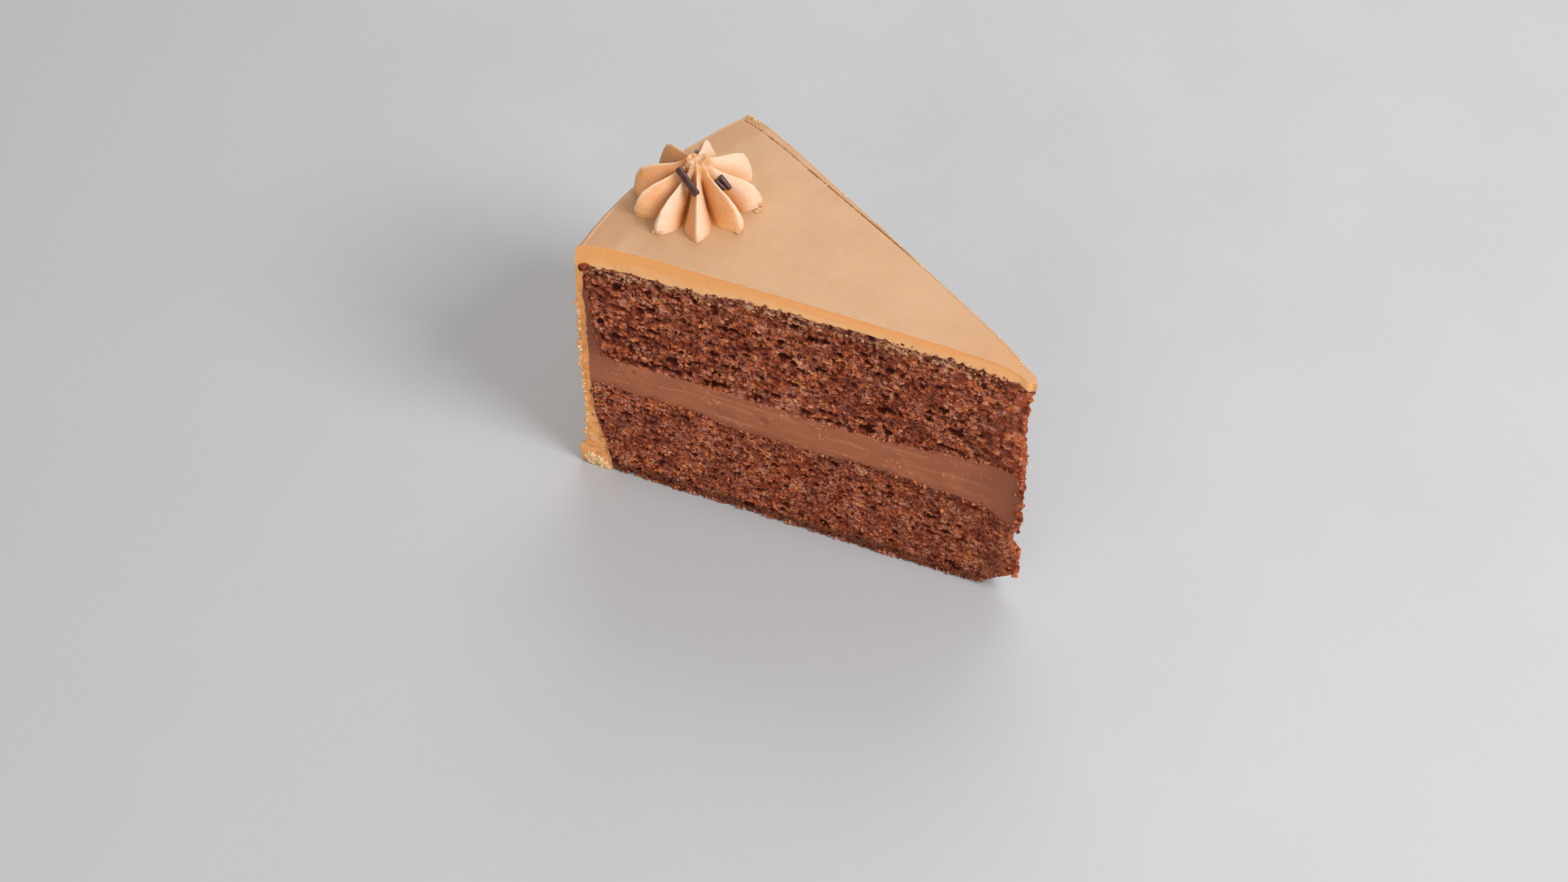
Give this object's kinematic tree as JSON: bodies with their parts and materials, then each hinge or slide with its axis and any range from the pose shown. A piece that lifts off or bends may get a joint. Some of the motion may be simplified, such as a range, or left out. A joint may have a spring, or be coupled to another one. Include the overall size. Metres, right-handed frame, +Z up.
{
  "type": "slice of chocolate layer cake",
  "caption": "Wedge of chocolate layer cake with chocolate cream filling, tan buttercream over the top and round outer side, and a piped rosette with chocolate sprinkles.",
  "frame": {"origin": "middle of the slice's box, on the surface that it stands on", "axes": "+Z up, +X towards the thin tip, -X towards the round frosted side, -Y towards the cut face that is shown, with the slice symmetric about the XZ plane apart from its rosette and roughness"},
  "size_m": [0.1214, 0.0674, 0.0913],
  "materials": {
    "sponge": "moist open chocolate crumb, dark red-brown, with pores and small glints",
    "chocolate_cream": "smooth milk-chocolate cream with knife streaks, satin",
    "buttercream": "smooth tan buttercream, satin-matte, faintly translucent at its edges",
    "piped_buttercream": "piped tan buttercream, satin, with dark brown sprinkles"
  },
  "bodies": {
    "root": {"sponge_bottom": "sponge", "filling": "chocolate_cream", "sponge_top": "sponge", "frosting": "buttercream", "rosette": "piped_buttercream"}
  },
  "joints": []
}
